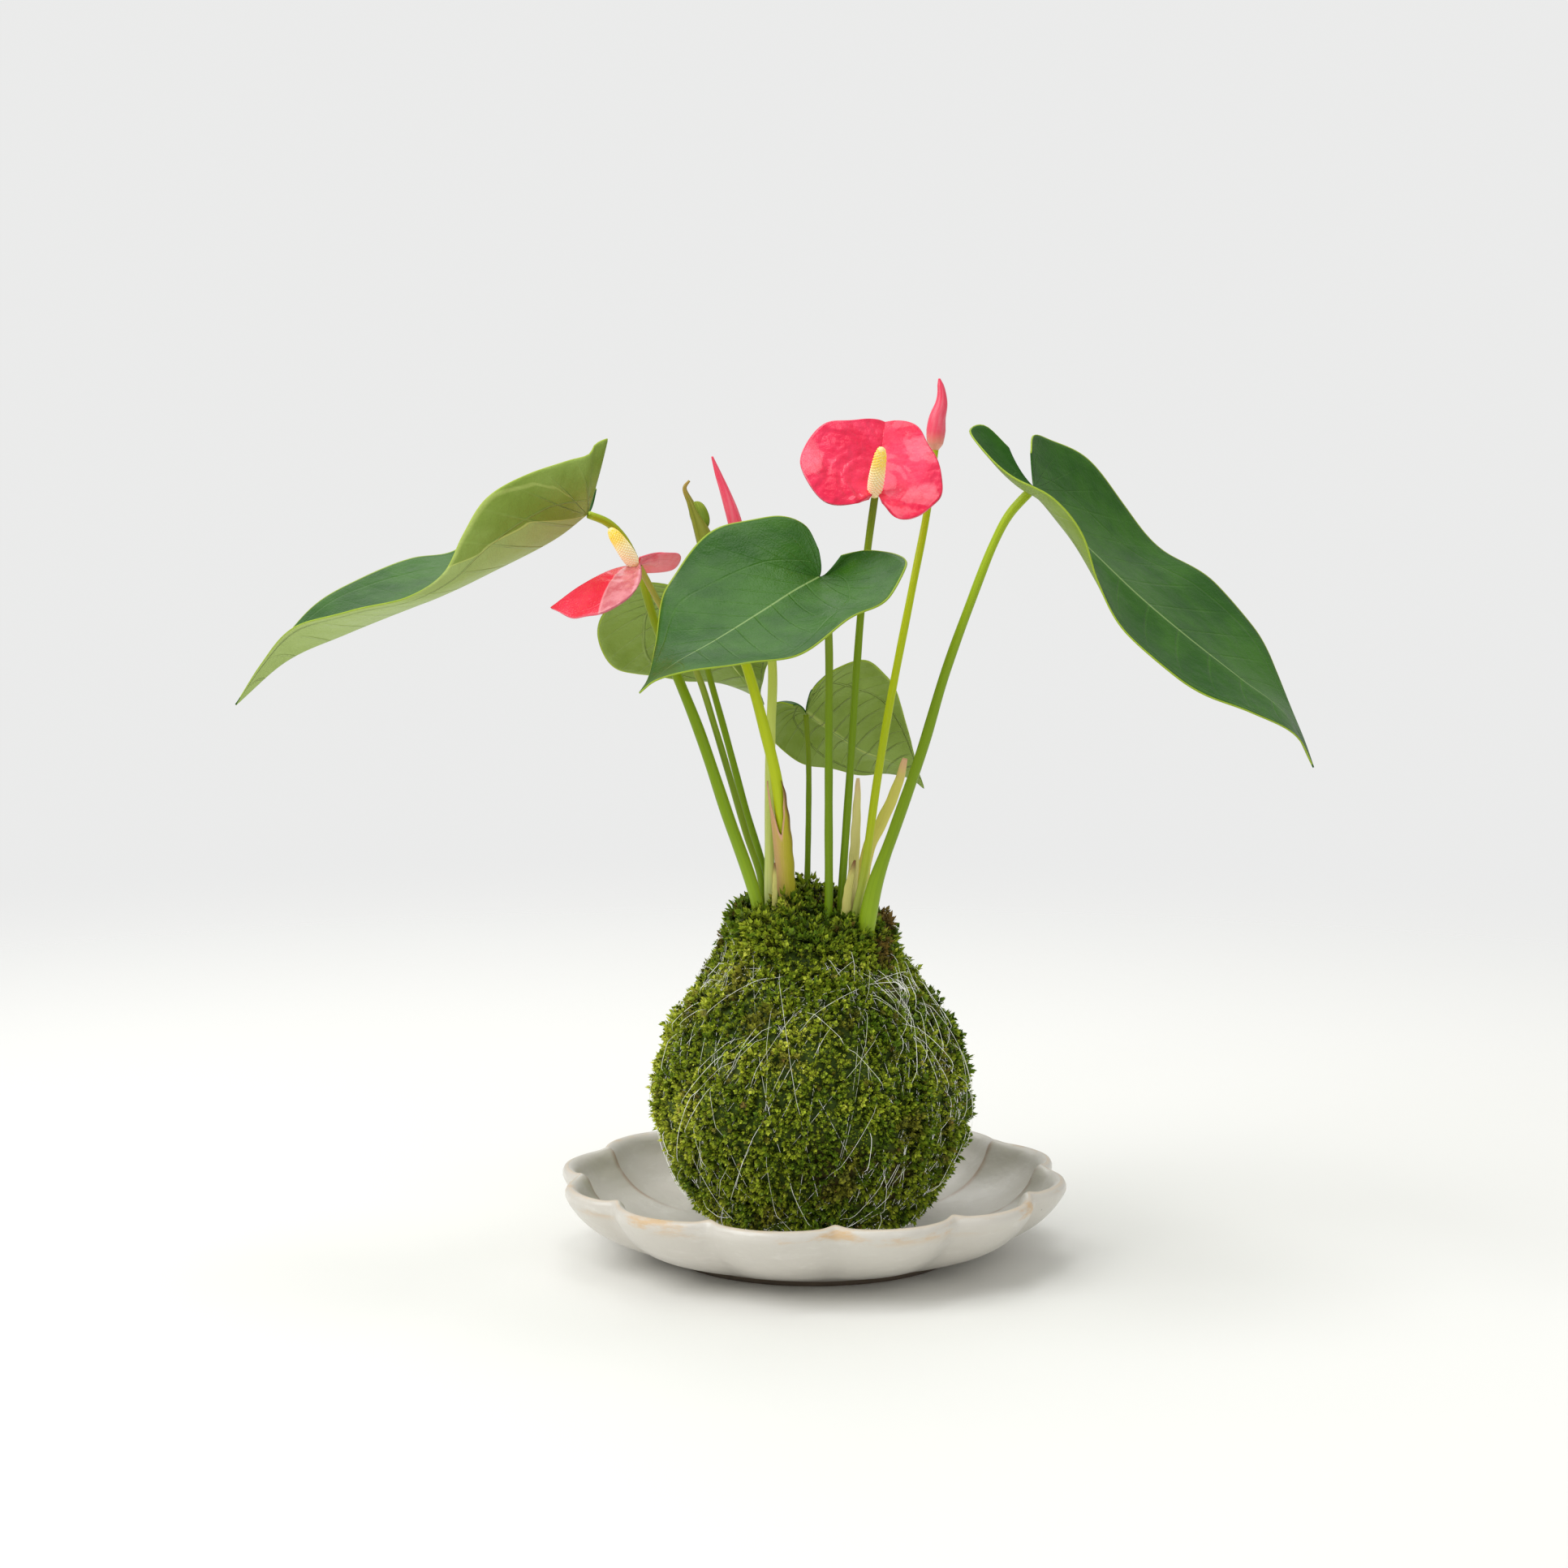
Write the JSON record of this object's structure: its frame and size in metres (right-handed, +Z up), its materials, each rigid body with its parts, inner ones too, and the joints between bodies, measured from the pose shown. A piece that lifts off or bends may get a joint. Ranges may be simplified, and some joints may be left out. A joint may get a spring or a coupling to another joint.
{
  "type": "kokedama moss ball plant",
  "caption": "Moss-covered soil ball with a pink flamingo flower growing from its crown, bound with fine thread and resting in a scalloped glazed dish.",
  "frame": {"origin": "middle of the dish's flat foot, on the surface it stands on", "axes": "+Z up; -Y is the front, where the large front leaf and the open flower face; +X to the right"},
  "size_m": [0.4012, 0.207, 0.3356],
  "materials": {
    "glaze": "satin",
    "soil": "matte",
    "moss": "matte",
    "thread": "gloss",
    "leaf": "satin",
    "young_leaf": "satin",
    "stem": "satin",
    "pale_stem": "satin",
    "spathe": "gloss",
    "spadix": "matte",
    "bract": "matte"
  },
  "bodies": {
    "root": {"dish": "glaze", "soil_ball": "soil", "moss_cover": "moss", "binding_thread": "thread", "left_leaf": "leaf", "front_leaf": "leaf", "right_leaf": "leaf", "rear_left_leaf": "leaf", "rear_right_leaf": "leaf", "young_leaf": "young_leaf", "main_spathe": "spathe", "side_spathe": "spathe", "left_bud": "spathe", "right_bud": "spathe", "main_spadix": "spadix", "side_spadix": "spadix", "left_leaf_stem": "stem", "front_leaf_stem": "stem", "right_leaf_stem": "stem", "rear_left_leaf_stem": "stem", "rear_right_leaf_stem": "stem", "main_flower_stem": "stem", "side_flower_stem": "stem", "young_leaf_stem": "pale_stem", "right_bud_stem": "pale_stem", "left_bud_stem": "pale_stem", "young_leaf_sheath": "bract", "middle_bract": "bract", "leaning_bract": "bract", "front_bract": "bract", "left_bract": "bract", "right_bract": "bract"}
  },
  "joints": []
}
